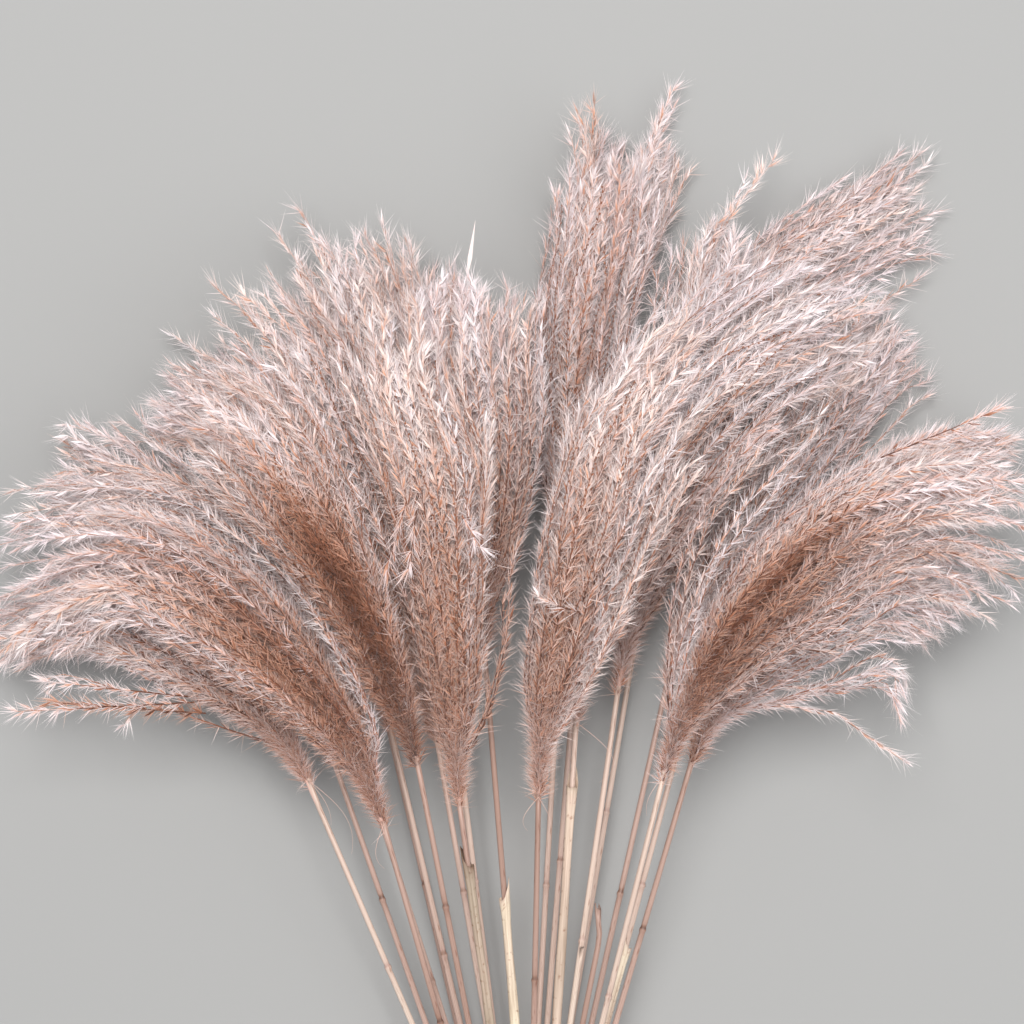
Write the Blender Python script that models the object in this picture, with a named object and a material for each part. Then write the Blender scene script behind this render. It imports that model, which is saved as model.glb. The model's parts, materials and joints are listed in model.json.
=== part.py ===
"""Bundle of dried reed grass lying on a surface: 22 plumed reeds and one snapped culm, bound with twine.

Metres, +Z up, the surface at z = 0, the origin at the middle of the footprint on that surface. The culms
run along +Y from their cut ends through the tie. Above the tie they fan out in four layers, and each culm
carries its plume at its top. A reed is laid out in two steps: a planar course, whose heading turns as it
goes, and a height that depends only on its layer and on the place in the plane. Two layers therefore never
meet, and within a layer a plume is never wider than the room that its neighbours leave it.
"""

from math import atan2, cos, hypot, pi, radians, sin, tau

import bmesh
import bpy
from mathutils import Vector

# Where the tie holds the bundle, seen from the middle of the footprint.
TIE = Vector((0.0055, -0.2018))

# The bundle at the tie and below it.
CUT_LENGTH = 0.095  # from the tie to the cut ends
CUT_UNEVEN = 0.009  # how far the cut ends differ
UNEVEN_BY_PLACE, UNEVEN_BY_LAYER = 2.4, 1.7  # radians from one reed or layer to the next
COLUMN_PITCH = 0.0034  # between culms of one layer, at the tie
LAYER_PITCH_TIE = 0.0030  # between layers, at the tie
COLUMN_SHIFTS = (0.0, 0.0, 0.5, 0.0)  # in columns, so that a layer's culms sit over the gaps of the one below
TIE_LIFT = 0.0104  # height of the lowest layer's underside at the tie

# Above the tie.
SPLAY_LENGTH = 0.045  # over which a culm bends from parallel to its own lean
LAYER_PITCH_PLUME = 0.0250  # between layers among the plumes
LAYER_SPREAD_END = 0.332  # distance from the tie where that pitch is reached
TIPS_FROM, TIPS_TO, TIPS_SAG = 0.352, 0.512, 0.25  # the heap thins by this share between these distances
SIDES_FROM, SIDES_TO = radians(14), radians(44)  # angles from the bundle's line between which the sides droop
SIDES_DROOP = 1.0  # of a layer
TOUCHDOWN = 0.292  # distance from the tie where the lowest layer lies on the surface
GAP = 0.0003  # between solids that touch side by side

# Culms.
CULM_RADIUS = 0.00145  # at the cut end
CULM_TAPER = 0.75  # radius at the plume, as a share of that at the cut end
JOINT_AT = 0.68  # share of the length above the tie where the upper joint sits
JOINT_UNEVEN = 0.08
JOINT_SWELL = 1.28
JOINT_HALF = 0.0016
CULM_STATIONS = (  # distances above the tie
    -0.087, -0.075, -0.056, -0.027, 0.0, 0.015, 0.030, 0.045, 0.080, 0.120, 0.160, 0.200, 0.240,
)
STATION_CLEAR = 0.004  # no station this near to an end or a joint

# Leaf sheaths.
SHEATH_CLEARANCE = 0.0004
SHEATH_WALL = 0.0004
SHEATH_START = 0.084  # distance above the tie where every sheath starts
SHEATH_TO_PLUME = 0.020
SHEATH_STEP = 0.022
SHEATH_TAPER = 0.94

# Plumes.
PLUME_HALF_WIDTH = 0.037
PLUME_HALF_HEIGHT = 0.0135
PLUME_NECK = 0.0024  # radius where the plume leaves its culm
NECK_GAP = 0.0007  # between a culm's end and its plume, which meet at a slant
PLUME_WIDEST = 0.52  # share of the length
SWELL_POWER, TAPER_POWER = 0.8, 0.85  # below the widest place and above it
PLUME_RINGS = (0.0, 0.06, 0.15, 0.27, 0.40, 0.54, 0.68, 0.80, 0.90)
PLUME_SIDES = 16  # every second one is a groove between two strands
GROOVE_DEPTH = 0.16  # share of the width, towards the tip
STRAND_REACH = 0.035  # share of the length that strands stand out past the grooves at the tip
CURL_POWER = 1.4  # a plume bends more towards its tip
UNDERSIDE_SAG = 1.5  # the lowest plumes press flat on the surface
TOPSIDE_RISE = 1.5  # the silk of the highest plumes stands up, with nothing over it

PLUME_TONES = (  # from the lowest layer to the highest
    ("silver", (0.68, 0.57, 0.51)),
    ("pink", (0.62, 0.49, 0.42)),
    ("beige", (0.58, 0.44, 0.36)),
    ("tan", (0.52, 0.37, 0.28)),
)

# Twine.
TWINE_RADIUS = 0.0009
TWINE_TURNS = 5
TWINE_PITCH = 0.0020
TWINE_STEPS = 24  # points in one turn
KNOT_RADII = (0.0030, 0.0042, 0.0024)
KNOT_SEGMENTS, KNOT_RINGS = 12, 8
TIE_RIM = CULM_RADIUS + GAP + TWINE_RADIUS  # from a culm's axis to the twine's
WELD_DISTANCE = 0.00001

# One row a reed, from left to right: lean above the tie and heading of the plume's tip (degrees, positive to
# the right), culm length above the tie, and plume length, which is 0 for the culm that snapped.
LAYERS = (
    (  # lowest, at the back
        (-13.0, -60, 0.258, 0.160),
        (-7.0, -6, 0.266, 0.172),
        (3.3, 24, 0.285, 0.220),
        (9.5, 66, 0.274, 0.236),
        (12.5, 68, 0.257, 0.205),
    ),
    (
        (-19.0, -82, 0.231, 0.184),
        (-13.0, -72, 0.239, 0.186),
        (-7.0, -26, 0.252, 0.202),
        (4.4, 0, 0.254, 0.238),
        (8.0, 28, 0.250, 0.218),
        (14.5, 94, 0.237, 0.205),
    ),
    (
        (-22.5, -133, 0.227, 0.162),
        (-17.0, -108, 0.218, 0.200),
        (-9.5, -42, 0.230, 0.202),
        (-4.6, 4, 0.266, 0.164),
        (3.5, 80, 0.236, 0.230),
        (15.5, 136, 0.229, 0.168),
    ),
    (  # highest, in front
        (-15.0, -126, 0.202, 0.200),
        (-10.5, -60, 0.225, 0.176),
        (-7.5, -6, 0.206, 0.198),
        (1.0, 40, 0.207, 0.202),
        (10.5, 11, 0.168, 0.0),
        (13.0, 102, 0.221, 0.204),
    ),
)
# (layer, place in it, distance above the tie where the sheath ends, or None for just under the plume)
SHEATHS = ((3, 2, None), (2, 4, None), (2, 3, 0.170), (1, 5, 0.152))
COURSE_STEP = 0.002


def smooth(share):
    """0 below 0, 1 above 1, and smooth in between."""
    share = min(max(share, 0.0), 1.0)
    return share * share * (3 - 2 * share)


def mixed(low, high, share):
    return low + (high - low) * share


def clear_scene():
    for obj in list(bpy.data.objects):
        bpy.data.objects.remove(obj)


def dried_material(name, colour, roughness):
    material = bpy.data.materials.new(name)
    material.use_nodes = True
    shader = material.node_tree.nodes["Principled BSDF"]
    shader.inputs["Base Color"].default_value = (*colour, 1.0)
    shader.inputs["Roughness"].default_value = roughness
    shader.inputs["Metallic"].default_value = 0.0
    material.diffuse_color = (*colour, 1.0)
    return material


class Reed:
    """One reed's planar course, measured along it from the tie, and its height."""

    def __init__(self, layer, place, count, row):
        lean, tip, self.culm_length, self.plume_length = row
        self.lean, self.tip = radians(lean), radians(tip)
        self.layer = layer
        self.column = (place - (count - 1) / 2 + COLUMN_SHIFTS[layer]) * COLUMN_PITCH
        uneven = sin(UNEVEN_BY_PLACE * place + UNEVEN_BY_LAYER * layer)
        self.start = -CUT_LENGTH + CUT_UNEVEN * (0.5 + 0.5 * uneven)
        self.joint = (JOINT_AT + JOINT_UNEVEN * uneven) * self.culm_length
        self.length = self.culm_length + self.plume_length
        self.course = self.walk()

    def heading(self, along):
        """The direction in the surface's plane, from +Y towards +X."""
        if along <= self.culm_length:
            return self.lean * smooth(along / SPLAY_LENGTH)
        share = (along - self.culm_length) / self.plume_length
        return mixed(self.lean, self.tip, min(share, 1.0) ** CURL_POWER)

    def walk(self):
        """Points a step apart, from the tie to the reed's far end."""
        steps = round(self.length / COURSE_STEP)
        step = self.length / steps
        at = Vector((self.column, 0.0))
        course = [at.copy()]
        for i in range(steps):
            heading = self.heading((i + 0.5) * step)
            at += Vector((sin(heading), cos(heading))) * step
            course.append(at.copy())
        return course

    def planar(self, along):
        """Where the reed's axis is in the plane, with the tie at the origin."""
        if along <= 0:
            return Vector((self.column, along))
        place = along / self.length * (len(self.course) - 1)
        i = min(int(place), len(self.course) - 2)
        return self.course[i].lerp(self.course[i + 1], place - i)

    def point(self, along):
        flat = self.planar(along)
        return Vector((*(TIE + flat), layer_middle(self.layer, flat)))

    def culm_radius(self, along):
        share = (along - self.start) / (self.culm_length - self.start)
        return CULM_RADIUS * mixed(1.0, CULM_TAPER, share)


def distance_from_tie(flat):
    return hypot(flat.x, flat.y) if flat.y > 0 else flat.y


def stack_floor(distance):
    """The underside of the lowest layer: up from the cut ends to the tie, and down again to the plumes."""
    if distance < 0:
        rest = CULM_RADIUS - LAYER_PITCH_TIE / 2
        return mixed(rest, TIE_LIFT, sin(pi / 2 * max(0.0, 1 + distance / (CUT_LENGTH - CUT_UNEVEN))))
    return TIE_LIFT * (1 - smooth(distance / TOUCHDOWN))


def layer_pitch(flat):
    distance = distance_from_tie(flat)
    spread = mixed(LAYER_PITCH_TIE, LAYER_PITCH_PLUME, smooth(distance / LAYER_SPREAD_END))
    return spread * (1 - TIPS_SAG * smooth((distance - TIPS_FROM) / (TIPS_TO - TIPS_FROM)))


def layer_middle(layer, flat):
    aside = atan2(abs(flat.x), flat.y) if flat.y > SPLAY_LENGTH else 0.0
    droop = SIDES_DROOP * smooth((aside - SIDES_FROM) / (SIDES_TO - SIDES_FROM))
    return stack_floor(distance_from_tie(flat)) + (layer + 0.5 - droop) * layer_pitch(flat)


def room(flat, neighbour):
    """Half of the way from a point to a neighbour's axis."""
    if neighbour is None:
        return PLUME_HALF_WIDTH
    return min((flat - other).length for other in neighbour.course) / 2 - GAP


def swell(share):
    """A plume's width at this share of its length: a narrow neck, widest past the middle, a tapered tip."""
    if share < PLUME_WIDEST:
        return smooth(share / PLUME_WIDEST) ** SWELL_POWER
    return (1 - ((share - PLUME_WIDEST) / (1 - PLUME_WIDEST)) ** 2) ** TAPER_POWER


def curve_object(name, points, radii, bevel, material, filled=True):
    """A round bar along these points, bevel times each radius thick."""
    curve = bpy.data.curves.new(name, "CURVE")
    curve.dimensions = "3D"
    curve.bevel_depth = bevel
    curve.bevel_resolution = 1
    curve.use_fill_caps = filled
    spline = curve.splines.new("POLY")
    spline.points.add(len(points) - 1)
    for place, point, radius in zip(spline.points, points, radii):
        place.co = (*point, 1.0)
        place.radius = radius
    curve.materials.append(material)
    obj = bpy.data.objects.new(name, curve)
    bpy.context.collection.objects.link(obj)
    return obj


def culm(name, reed, material):
    """A tapered stalk with its upper joint, from the cut end to the plume."""
    joint = reed.joint
    stops = {
        along: 1.0
        for along in CULM_STATIONS
        if reed.start + STATION_CLEAR < along < reed.culm_length - STATION_CLEAR
        and abs(along - joint) > STATION_CLEAR
    }
    stops |= {reed.start: 1.0, reed.culm_length: 1.0}
    if reed.plume_length:
        stops |= {joint - JOINT_HALF: 1.0, joint: JOINT_SWELL, joint + JOINT_HALF: 1.0}
    stations = sorted(stops)
    radii = [stops[along] * reed.culm_radius(along) / CULM_RADIUS for along in stations]
    return curve_object(name, [reed.point(along) for along in stations], radii, CULM_RADIUS, material)


def leaf_sheath(name, reed, end, material):
    """A thin dried leaf base that wraps the culm, open at both ends."""
    joint = reed.joint
    stop = end or reed.culm_length - SHEATH_TO_PLUME
    inner = CULM_RADIUS * (JOINT_SWELL if SHEATH_START < joint < stop else 1.0) + SHEATH_CLEARANCE
    count = max(4, round((stop - SHEATH_START) / SHEATH_STEP))
    stations = [mixed(SHEATH_START, stop, i / count) for i in range(count + 1)]
    points = [reed.point(along) for along in stations]
    radii = [mixed(1.0, SHEATH_TAPER, i / count) for i in range(count + 1)]
    sheath = curve_object(name, points, radii, inner, material, filled=False)
    wall = sheath.modifiers.new("wall", "SOLIDIFY")
    wall.thickness = SHEATH_WALL
    wall.offset = 1.0
    return sheath


def plume_point(reed, sides, share, turn, reach):
    """A point of a plume at this share of its length, this turn round it, and this share of the way out."""
    along = reed.culm_length + NECK_GAP + share * (reed.plume_length - NECK_GAP)
    flat = reed.planar(along)
    heading = reed.heading(along)
    across = Vector((cos(heading), -sin(heading)))
    width = min(PLUME_HALF_WIDTH * swell(share), room(flat, sides[cos(turn) > 0]))
    at = flat + across * (max(PLUME_NECK, width) * reach * cos(turn))
    height = min(PLUME_HALF_HEIGHT * swell(share), layer_pitch(at) / 2 - GAP)
    if reed.layer == 0 and sin(turn) < 0:
        height *= UNDERSIDE_SAG
    if reed.layer == len(LAYERS) - 1 and sin(turn) > 0:
        height *= TOPSIDE_RISE
    z = layer_middle(reed.layer, at) + max(PLUME_NECK, height) * reach * sin(turn)
    return Vector((*(TIE + at), max(z, 0.0)))


def plume_ring(reed, sides, share):
    """The points round a plume at this share of its length. At the tip, strands reach past the grooves."""
    ring = []
    for i in range(PLUME_SIDES):
        groove = i % 2 * smooth(share / PLUME_WIDEST)
        along = share + STRAND_REACH * share ** 4 * (1 - 2 * groove)
        turn = (i + 0.5) * tau / PLUME_SIDES
        ring.append(plume_point(reed, sides, along, turn, 1 - GROOVE_DEPTH * groove))
    return ring


def plume(name, reed, sides, material):
    """The closed outer form of a plume, from its neck on the culm to its tip."""
    mesh = bpy.data.meshes.new(name)
    form = bmesh.new()
    loops = [
        [form.verts.new(point) for point in plume_ring(reed, sides, share)]
        for share in PLUME_RINGS
    ]
    for low, high in zip(loops, loops[1:]):
        for i in range(PLUME_SIDES):
            j = (i + 1) % PLUME_SIDES
            form.faces.new((low[i], low[j], high[j], high[i]))
    form.faces.new(loops[0])
    tip = form.verts.new(plume_point(reed, sides, 1.0, 0.0, 0.0))
    for i in range(PLUME_SIDES):
        form.faces.new((loops[-1][i], loops[-1][(i + 1) % PLUME_SIDES], tip))
    bmesh.ops.recalc_face_normals(form, faces=form.faces)
    form.to_mesh(mesh)
    form.free()
    mesh.shade_smooth()
    mesh.materials.append(material)
    obj = bpy.data.objects.new(name, mesh)
    bpy.context.collection.objects.link(obj)
    return obj


def wrap_point(centres, turn):
    """Where the twine's axis passes at this angle from the bundle's middle, round the outermost culm."""
    outward = Vector((cos(turn), sin(turn)))
    outermost = max(centres, key=lambda centre: centre.dot(outward))
    return outermost + outward * TIE_RIM


def twine_tie(name, reeds, material):
    """Five turns of twine drawn tight round the culms, and the knot on top of them."""
    centres = [Vector((reed.column, layer_middle(reed.layer, Vector((0, 0))))) for reed in reeds]
    points = []
    for i in range(TWINE_TURNS * TWINE_STEPS + 1):
        turn = pi / 2 + i * tau / TWINE_STEPS
        across = wrap_point(centres, turn)
        along = (i / TWINE_STEPS - TWINE_TURNS / 2) * TWINE_PITCH
        points.append((TIE.x + across.x, TIE.y + along, across.y))
    tie = curve_object(name, points, [1.0] * len(points), TWINE_RADIUS, material)
    graph = bpy.context.evaluated_depsgraph_get()
    mesh = bpy.data.meshes.new_from_object(tie.evaluated_get(graph))
    bpy.data.objects.remove(tie)
    tie = bpy.data.objects.new(name, mesh)
    bpy.context.collection.objects.link(tie)
    weld = tie.modifiers.new("weld", "WELD")
    weld.merge_threshold = WELD_DISTANCE

    top = max(point[2] for point in points)
    bpy.ops.mesh.primitive_uv_sphere_add(segments=KNOT_SEGMENTS, ring_count=KNOT_RINGS, radius=1.0)
    knot = bpy.context.object
    knot.name = "knot_form"
    knot.scale = KNOT_RADII
    knot.location = (TIE.x, TIE.y, top + KNOT_RADII[2] - TWINE_RADIUS + GAP)
    knot.hide_render = True
    knot.display_type = "WIRE"
    join = tie.modifiers.new("knot", "BOOLEAN")
    join.operation = "UNION"
    join.object = knot
    return tie


def build():
    clear_scene()
    straw = dried_material("culm", (0.60, 0.42, 0.31), 0.5)
    sheath_skin = dried_material("sheath", (0.66, 0.55, 0.38), 0.6)
    down = [dried_material(f"plume_{tone}", colour, 0.9) for tone, colour in PLUME_TONES]
    jute = dried_material("twine", (0.45, 0.33, 0.20), 0.9)

    layers = [
        [Reed(layer, place, len(rows), row) for place, row in enumerate(rows)]
        for layer, rows in enumerate(LAYERS)
    ]
    number = 0
    for reeds in layers:
        plumed = [reed for reed in reeds if reed.plume_length]
        for reed in reeds:
            if not reed.plume_length:
                culm("snapped_culm", reed, straw)
                continue
            number += 1
            place = plumed.index(reed)
            left = plumed[place - 1] if place else None
            right = plumed[place + 1] if place + 1 < len(plumed) else None
            culm(f"culm_{number:02d}", reed, straw)
            plume(f"plume_{number:02d}", reed, (left, right), down[reed.layer])
    for i, (layer, place, end) in enumerate(SHEATHS):
        leaf_sheath(f"leaf_sheath_{i + 1}", layers[layer][place], end, sheath_skin)
    twine_tie("twine_tie", [reed for reeds in layers for reed in reeds], jute)


build()
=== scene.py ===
"""The bundle of dried reed grass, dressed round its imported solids.

Each plume's solid gives its axis and its girth. Thin branches run along that axis, and each carries
spikelets with silky hairs. The culms, leaf sheaths and twine are redrawn on their own solids with finer
surfaces. The bundle lies on a pale floor, and the camera looks down on it. Lengths are in metres.
"""

import json
from math import cos, pi, sin, tau

import bpy
import numpy as np
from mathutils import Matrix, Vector


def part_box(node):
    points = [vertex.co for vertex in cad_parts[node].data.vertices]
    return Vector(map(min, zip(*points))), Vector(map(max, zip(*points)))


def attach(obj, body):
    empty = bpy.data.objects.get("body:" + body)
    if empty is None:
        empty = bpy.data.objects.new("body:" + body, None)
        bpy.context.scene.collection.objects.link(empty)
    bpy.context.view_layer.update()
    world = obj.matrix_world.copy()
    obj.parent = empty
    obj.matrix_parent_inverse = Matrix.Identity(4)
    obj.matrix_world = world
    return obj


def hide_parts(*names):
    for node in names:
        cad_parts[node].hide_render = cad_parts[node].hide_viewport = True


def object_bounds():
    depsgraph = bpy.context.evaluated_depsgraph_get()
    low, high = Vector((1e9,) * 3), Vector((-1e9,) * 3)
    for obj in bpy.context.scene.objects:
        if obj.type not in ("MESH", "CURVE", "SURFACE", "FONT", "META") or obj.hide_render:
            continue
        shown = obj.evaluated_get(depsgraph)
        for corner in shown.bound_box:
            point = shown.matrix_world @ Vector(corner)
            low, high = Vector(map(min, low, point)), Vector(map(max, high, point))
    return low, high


UV_MAP = "OFBake"
UP = np.array((0.0, 0.0, 1.0))
GOLDEN_TURN = pi * (3 - 5**0.5)
FLOOR_CLEAR = 0.0002  # at least, below every piece

# Plumes. A share is of the plume's length, and a place across it runs from -1 at its left to 1.
SLICE = 0.007  # between the sections that find a plume's axis
SLICE_REACH = 0.060  # round the axis
KEEPS_HEADING, TURNS_HEADING = 0.6, 0.4  # the axis from one section to the next
AXIS_POINTS = 40
BRANCHES = 52  # in a plume
GIRTH_ASIDE, GIRTH_ALOFT = 0.93, 0.90  # share of the girth that they take up
SILK_ASIDE, SILK_ALOFT = 0.0026, 0.0038  # room for their silk inside the solid's skin
OFF_AXIS = 0.0006  # from the axis to a branch, at least
LEAVING, LEFT_AT_START = 0.16, 0.12  # the share in which it leaves the axis, and how far it has at first
LOOSENING = 0.10  # how much further out it ends
SWAY = 0.0013  # at its end
BRANCH_STARTS = (0.0, 0.30)  # share, in the plume's middle
OUTER_SOONER = 0.75  # how much sooner the outermost begin
BRANCH_LENGTH_MIN = 0.030
TURN_STRAY = 0.2  # radians round the axis
BRANCH_DRIFT = 0.009  # outwards at its end, at most
BRANCH_OUTSIDE = 0.007  # beside the solids' box, at most
RAGGED = (-0.15, 0.08)  # share past the solid's skin, at its end
CROWN_STRAY = 0.03
BRANCH_RADIUS = 0.00028
BRANCH_TAPER = (1.4, 0.5)
STEM_SIDES = 3  # of a branch, a vein or a thread
BRANCH_STEP = 0.012
TRUNK_FIT = 0.94  # of its culm's radius
TRUNK_OVERLAP = 0.004
TRUNK_POINTS, TRUNK_SIDES, TRUNK_STOP = 24, 6, 0.8
TRUNK_TONES, TRUNK_SHADE = (0.60, 0.30), 0.3
SWATCH = 0.012  # half a blade's width on the palette

# Spikelets and their hairs. Towards a branch's end they open, and grow longer and wider.
SPIKELET_PITCH = 0.0033
SPIKELET_FIRST, SPIKELET_STRAY = 0.002, 0.0006  # along the branch
SPIKELET_LENGTH, SPIKELET_LENGTHS = 0.0050, (0.8, 1.25)
SPIKELET_HALF_WIDTH = 0.00052
SPIKELET_PROUD = 0.0006  # out of their branch's silk
SPIKELET_ROLL = 0.75  # away from the branch's two sides, in radians
SPIKELET_LEAN = (10, 38)  # from the branch, in degrees
SPIKELET_TWIST, HAIR_TWIST = 0.45, 0.6
OPEN_FROM, OPEN_OVER = 0.55, 0.45  # of the branch's length
OPEN_LONGER, OPEN_WIDER, OPEN_HAIRIER = 0.45, 0.30, 0.18
HAIR_LENGTH = 0.0095
HAIR_HALF_WIDTH = 0.00014
# Hairs close together and apart: how many, their scatter at a closed and an open spikelet, their lengths.
HAIR_SORTS = ((5, (0.24, 0.22), (0.65, 1.15)), (8, (0.48, 0.38), (0.55, 1.05)))

# Tones on the palette, from 0 at its dark end to 1 at its pale end.
RIPENS_OVER = 0.72  # share of the plume
DARK, RIPE_PALER, OPEN_PALER = 0.07, 0.29, 0.33
BRANCH_TONE_STRAY, TONE_STRAY, SILK_TONE_STRAY = 0.09, 0.13, 0.05
STEM_DARKER = -0.24  # a branch's own stem against its spikelets
SPIKELET_ROOT, SPIKELET_TIP = -0.12, 0.28
SILK_TONE, SILK_RIPE_PALER = 0.57, 0.32
SILK_ROOT, SILK_TIP = -0.10, 0.14
BRANCH_SHADES, SHADE_STRAY = (0.1, 0.9), 0.10

# Veins: bare dark branchlets on top of the silk, with stubs of spikelets.
VEINS = 6  # in a plume that shows them
VEIN_PLACES, VEIN_STRAY = (-0.75, 0.75), 0.1  # across the plume
VEIN_STARTS, VEIN_STOPS, VEIN_DRIFT = (0.30, 0.50), (0.72, 0.90), 0.004
VEIN_RAISE = 0.0037  # above the course of a branch there
VEIN_RADIUS = 0.00020
VEIN_PITCH = 0.0022  # between the stubs
VEIN_STUB, VEIN_STUBS = 0.0015, (0.5, 1.2)
VEIN_STUB_HALF_WIDTH, VEIN_STUB_LEAN = 0.00042, 0.6
VEIN_TONE, VEIN_TONE_STRAY, VEIN_SHADE = 0.13, 0.07, 0.7

# Straight branches: their points, how high they bow, and how much riper they end.
STRAIGHT_POINTS, STRAIGHT_BOW, STRAIGHT_RIPER = 7, 0.003, 0.35
# Threads and bare blades.
THREAD_RADIUS, THREAD_POINTS = 0.00013, 12
THREAD_TONE, THREAD_SHADE = 0.6, 0.5
THREAD_START = 0.006  # how far into the plume
BARE_BLADE_HALF_WIDTH, BARE_BLADE_TONE = 0.0009, 0.9

# Culms.
CULM_SECTIONS = 240  # that find its middle and its radius
END_INSET = 0.0006  # of the first and the last of them
WHOLE = 9.0  # a reach beyond everything
JOINT_SWELL = 1.12  # of the radius, where there is a joint
CULM_SIDES = 10
CULM_RINGS = 52
CULM_TONES, TONE_WAVE, DARKER_ABOVE = (0.35, 0.85), 0.06, 0.10
CULM_RIBS = 0.035
JOINT_FLARE = 0.0009
JOINT_OFFSETS = (-3, -1.6, -0.9, -0.35, 0, 0.35, 0.9, 1.6, 3)  # of the rings round it, in flares
JOINT_RIDGE, JOINT_GROOVE = 0.22, 0.10
SCARS = (0.10, 0.45)  # how dark
CULM_INTO_PLUME = 0.007  # how far its end reaches into the plume
SNAP_FROM, SNAP_LEAN = 0.93, 0.0028  # where the snapped culm's end leans over, and how far
SNAP_JAG, SNAP_SPLAY, SNAP_HOLLOW = (-0.0015, 0.0045), (-0.0004, 0.0009), 0.003
CUT_TONE, SNAP_TONE = 0.95, 0.9
MAP_LEFT, MAP_WIDTH = 0.02, 0.96
MAP_FOOT, MAP_HEIGHT = 0.03, 0.94

# Leaf sheaths.
SHEATH_SIDES = 22
SHEATH_RINGS = 40
SHEATH_TURNS = 1.12
SHEATH_FOOT, SHEATH_MOUTH = 0.0004, 0.0016  # from the ends of its solid
SHEATH_GAPE, GAPE_WAVE, MOUTH_GAPE = 0.00036, 0.00012, 0.0005
SHEATH_LAP = 0.00024  # further out at the roll's end
SHEATH_WALL = 0.00014
SHEATH_RIPPLE = 0.00007
SHEATH_SLANT, SHEATH_TEAR = 0.009, 0.0012
SHEATH_WAVE, RIM_DARKER = 0.10, 0.25
SHEATH_TONES = (0.36, 0.60, 0.90, 0.78)  # of leaf_sheath_1 and so on

# Twine.
TWINE_TURNS = 5
PLIES = 3
PLY_SIDES = 6
PLY_STEPS = 72  # in one turn round the bundle
PLY_TWISTS = 17  # in the same
PLY_OFF, PLY_FIT = 0.52, 0.56  # of the twine's radius
WINDING_FIT = 3.2  # radii of the twine from the outermost culms to its skin
KNOT_TWISTS, END_TWISTS = 14, 4
KNOT_SIZE = (0.0030, 0.0042, 0.0024)
FIBRES = 2  # at each point of the core
FIBRE_LENGTHS, FIBRE_HALF_WIDTH = (0.0008, 0.0022), 0.00005

# View.
VIEW_WIDTH = 0.4096  # across the picture, at half the bundle's height
CAMERA_HEIGHT = 1.5
TOP_MARGIN = 0.0315  # between the bundle's top and the picture's edge
AIM_HEIGHT = 0.04
FLOOR_SIZE, FLOOR_GREY = 24, (0.33, 0.33, 0.325)
SKY, SKY_STRENGTH = (0.98, 0.98, 1.0), 0.47


def unit(vectors):
    return vectors / np.maximum(np.linalg.norm(vectors, axis=-1, keepdims=True), 1e-12)


def smooth(share):
    share = np.clip(share, 0.0, 1.0)
    return share * share * (3 - 2 * share)


def lengths_along(path):
    """How far along a path each of its points is."""
    return np.concatenate([[0], np.cumsum(np.linalg.norm(np.diff(path, axis=0), axis=1))])


def rows_at(places, along, *tables):
    """The rows of each table at these places, where along says the place of each given row."""
    return [np.stack([np.interp(places, along, column) for column in rows.T], 1) for rows in tables]


# --- reading the solids ---


def triangles_of(node):
    """The corners of a CAD node's triangles, as an array of shape (faces, 3, 3)."""
    mesh = node.data
    mesh.calc_loop_triangles()
    points = np.empty(len(mesh.vertices) * 3)
    mesh.vertices.foreach_get("co", points)
    faces = np.empty(len(mesh.loop_triangles) * 3, int)
    mesh.loop_triangles.foreach_get("vertices", faces)
    return points.reshape(-1, 3)[faces].reshape(-1, 3, 3)


def section(triangles, centre, normal, reach):
    """Where a solid's edges cross the plane through centre, no further than reach from it."""
    height = (triangles - centre) @ normal
    crossings = []
    for a, b in ((0, 1), (1, 2), (2, 0)):
        low, high = height[:, a], height[:, b]
        cut = (low < 0) != (high < 0)
        share = (low[cut] / (low[cut] - high[cut]))[:, None]
        crossings.append(triangles[cut, a] * (1 - share) + triangles[cut, b] * share)
    points = np.concatenate(crossings)
    return points[np.linalg.norm(points - centre, axis=1) < reach]


def across(heading):
    """The level direction to the right of a heading, and the one above both."""
    right = unit(np.cross(heading, UP))
    return right, np.cross(right, heading)


def spokes(path, turns):
    """A path's heading at each point, and the directions out of it at these turns."""
    headings = unit(np.gradient(path, axis=0))
    first, second = across(headings)
    spread = first[:, None] * np.cos(turns)[:, None] + second[:, None] * np.sin(turns)[:, None]
    return headings, spread


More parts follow.
